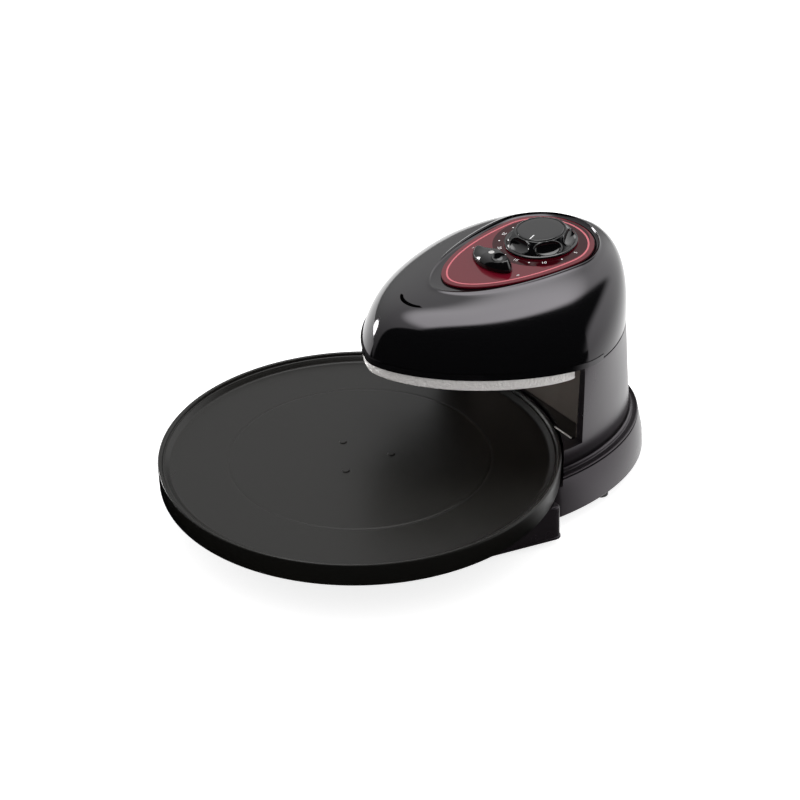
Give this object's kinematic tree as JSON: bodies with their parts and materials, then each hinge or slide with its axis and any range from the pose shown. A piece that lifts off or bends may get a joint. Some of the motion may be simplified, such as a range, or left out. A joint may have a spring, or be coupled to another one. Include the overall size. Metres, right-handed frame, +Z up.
{
  "type": "electric pizza maker",
  "caption": "Countertop pizza maker: a motor-turned round pan on a low base, under a fixed egg-shaped heating head on a rear tower, with a timer dial and a heat selector.",
  "frame": {"origin": "centre of the machine's box at the table", "axes": "+Z up; front (the pan) towards -Y and the tower towards +Y, along the longest extent; +X to the right as seen from the front"},
  "size_m": [0.334, 0.444, 0.2121],
  "materials": {
    "black_gloss": "polished moulded black",
    "black_matte": "fine grain",
    "foot_rubber": "matt",
    "zinc_steel": "zinc plated",
    "liner_steel": "bright rolled sheet",
    "bright_aluminium": "pebbled bright sheet",
    "rod_sheath": "heat-darkened sheath",
    "spring_steel": "satin",
    "motor_case": "satin",
    "shaft_steel": "ground",
    "pan_coating": "satin non-stick coating",
    "cutoff_ceramic": "unglazed",
    "panel_red": "glossy deep red",
    "control_case": "satin",
    "knob_black": "polished moulded black",
    "terminal_plastic": "moulded"
  },
  "bodies": {
    "base": {"base_shell": "black_gloss", "bottom_cover": "black_matte", "rubber_feet": "foot_rubber", "bottom_screws": "zinc_steel", "tower_shell": "black_gloss", "tower_screws": "zinc_steel", "throat_liner": "liner_steel", "lower_reflector": "bright_aluminium", "lower_element": "rod_sheath", "lower_element_clips": "spring_steel", "drive_motor": "motor_case", "motor_screws": "zinc_steel", "upper_housing": "black_gloss", "housing_screws": "zinc_steel", "upper_reflector": "bright_aluminium", "reflector_screws": "zinc_steel", "upper_element": "rod_sheath", "upper_element_clips": "spring_steel", "heat_shield": "bright_aluminium", "thermal_cutoff": "cutoff_ceramic", "control_panel": "panel_red", "timer_body": "control_case", "timer_nut": "zinc_steel", "selector_switch": "control_case", "selector_nut": "zinc_steel", "terminal_block": "terminal_plastic", "cord_bush": "foot_rubber"},
    "turntable": {"drive_shaft": "shaft_steel", "drive_hub": "black_matte", "hub_pin": "zinc_steel"},
    "pan_body": {"pan": "pan_coating", "pan_socket": "spring_steel", "pan_rivets": "zinc_steel"},
    "timer_dial": {"timer_shaft": "shaft_steel", "timer_knob": "knob_black"},
    "heat_selector": {"selector_shaft": "shaft_steel", "selector_knob": "knob_black"}
  },
  "joints": [
    {"name": "pan_spin", "type": "hinge", "parent": "base", "child": "turntable", "pos_m": [0, -0.055, 0.035], "axis": [0, 0, 1], "continuous": true},
    {"name": "pan_lift", "type": "slide", "parent": "turntable", "child": "pan_body", "axis": [0, 0, 1], "range_m": [0, 0.025]},
    {"name": "timer_turn", "type": "hinge", "parent": "base", "child": "timer_dial", "pos_m": [0, 0.1303, 0.1979], "axis": [0, -0.0906, 0.9959], "range_deg": [-300, 0]},
    {"name": "selector_turn", "type": "hinge", "parent": "base", "child": "heat_selector", "pos_m": [0, 0.0793, 0.19325], "axis": [0, -0.0906, 0.9959], "range_deg": [-45, 45]}
  ]
}
